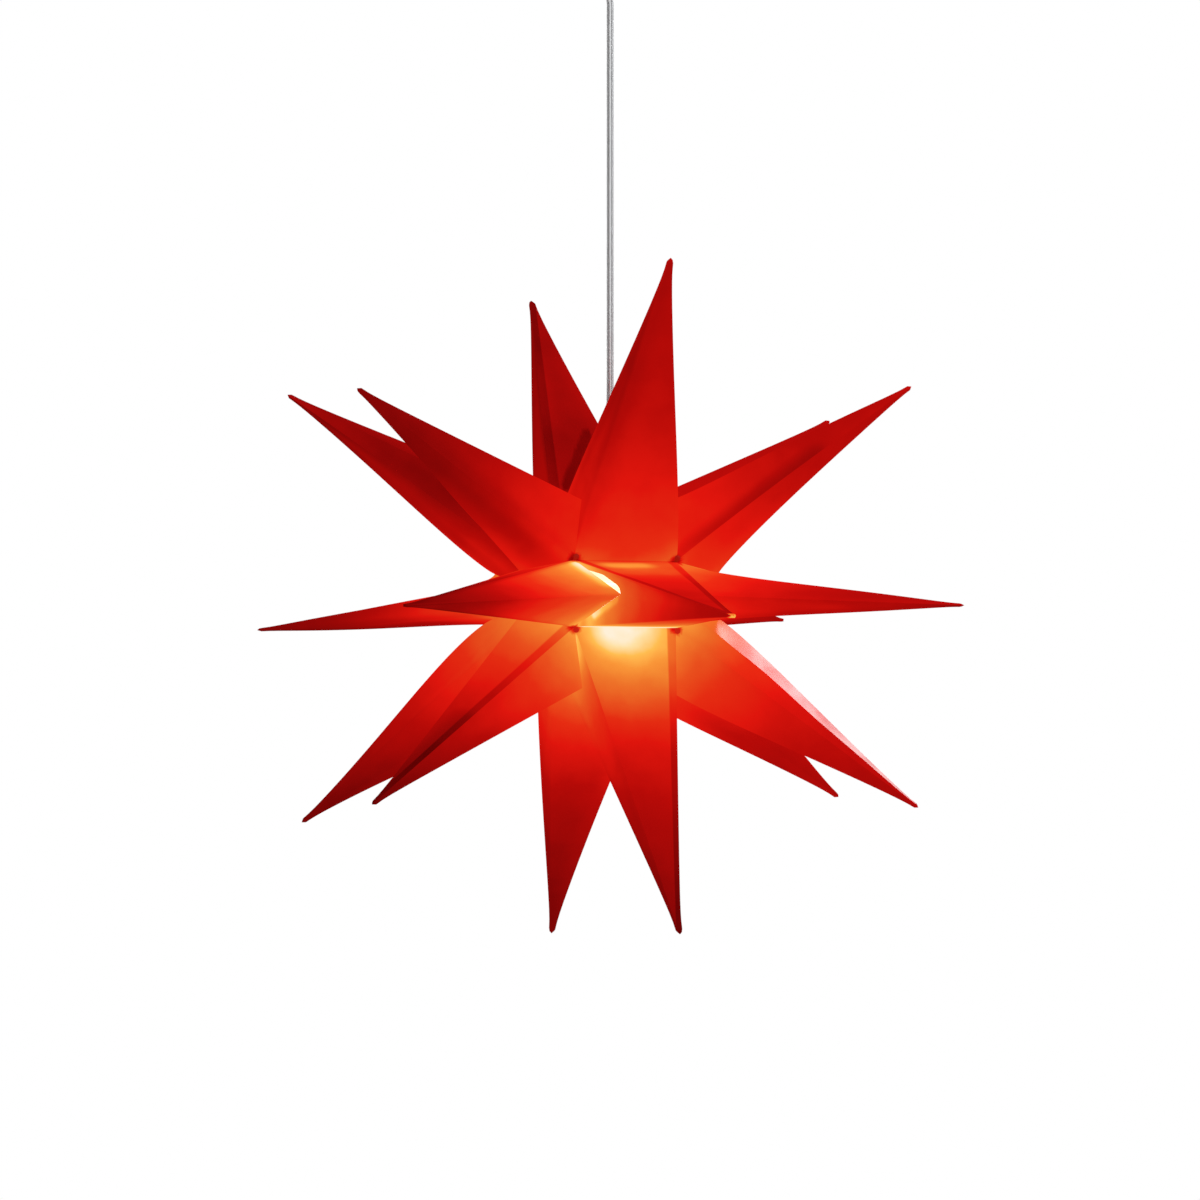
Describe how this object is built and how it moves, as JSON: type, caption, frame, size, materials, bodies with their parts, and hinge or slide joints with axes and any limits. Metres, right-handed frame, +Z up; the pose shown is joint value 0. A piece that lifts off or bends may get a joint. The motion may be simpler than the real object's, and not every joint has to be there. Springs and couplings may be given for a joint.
{
  "type": "lit hanging star",
  "caption": "Hanging star lamp of glossy translucent red sheet: hollow pyramid points folded round a small screw-in bulb, on a clear cord from a ceiling cup.",
  "frame": {"origin": "centre of the bracket's upper face, where it meets the ceiling, midway between its two holes", "axes": "+Z up, along the cord; +X along the level axis of the star's drum; -Y to the front"},
  "size_m": [0.451, 0.58, 0.8081],
  "materials": {
    "star_film": "thin glossy translucent red sheet, lit from inside",
    "stud_plastic": "moulded dark red plastic",
    "clamp_plastic": "moulded red plastic",
    "fitting_metal": "zinc plated steel",
    "grip_plastic": "clear moulded plastic",
    "cord_plastic": "clear twin flex, its two stranded wires showing through",
    "holder_plastic": "moulded white plastic",
    "contact_brass": "bare brass",
    "bulb_cap_metal": "bare rolled sheet",
    "collar_plastic": "white moulded plastic",
    "board": "white lacquered board with small square light sources",
    "dome_plastic": "opal diffuser, lit",
    "cup_plastic": "moulded white plastic",
    "block_plastic": "moulded pale plastic",
    "lead_insulation": "clear sleeve over copper strands"
  },
  "bodies": {
    "ceiling_fitting": {"ceiling_bracket": "fitting_metal", "ceiling_cup": "cup_plastic", "cup_screws": "fitting_metal", "cord_gland": "cup_plastic", "terminal_block": "block_plastic", "terminal_screws": "fitting_metal", "cord_tail": "cord_plastic", "leads": "lead_insulation"},
    "cord": {"cord": "cord_plastic"},
    "star": {"front_left_point": "star_film", "front_middle_point": "star_film", "front_right_point": "star_film", "upper_front_left_point": "star_film", "upper_front_middle_point": "star_film", "upper_front_right_point": "star_film", "upper_rear_left_point": "star_film", "upper_rear_middle_point": "star_film", "upper_rear_right_point": "star_film", "rear_left_point": "star_film", "rear_middle_point": "star_film", "rear_right_point": "star_film", "lower_rear_left_point": "star_film", "lower_rear_middle_point": "star_film", "lower_rear_right_point": "star_film", "lower_front_left_point": "star_film", "lower_front_middle_point": "star_film", "lower_front_right_point": "star_film", "corner_studs": "stud_plastic", "end_studs": "stud_plastic", "clamp_wedge": "clamp_plastic", "clamp_trough": "clamp_plastic", "nipple": "fitting_metal", "nipple_nut": "fitting_metal", "cord_grip": "grip_plastic", "grip_screw": "grip_plastic", "holder_cap": "holder_plastic", "holder_body": "holder_plastic", "contact_base": "holder_plastic", "centre_contact": "contact_brass", "screw_shell": "contact_brass"},
    "bulb": {"bulb_cap": "bulb_cap_metal", "bulb_collar": "collar_plastic", "led_board": "board", "bulb_dome": "dome_plastic"}
  },
  "joints": [
    {"name": "cord_swing", "type": "hinge", "parent": "ceiling_fitting", "child": "cord", "pos_m": [0, 0, -0.08], "axis": [1, 0, 0], "range_deg": [-20, 20]},
    {"name": "star_turn", "type": "hinge", "parent": "cord", "child": "star", "pos_m": [0, 0, -0.4575], "axis": [0, 0, 1], "range_deg": [-180, 180]},
    {"name": "bulb_turn", "type": "hinge", "parent": "star", "child": "bulb", "pos_m": [0, 0, -0.5398], "axis": [0, 0, 1], "range_deg": [0, 1080]}
  ]
}
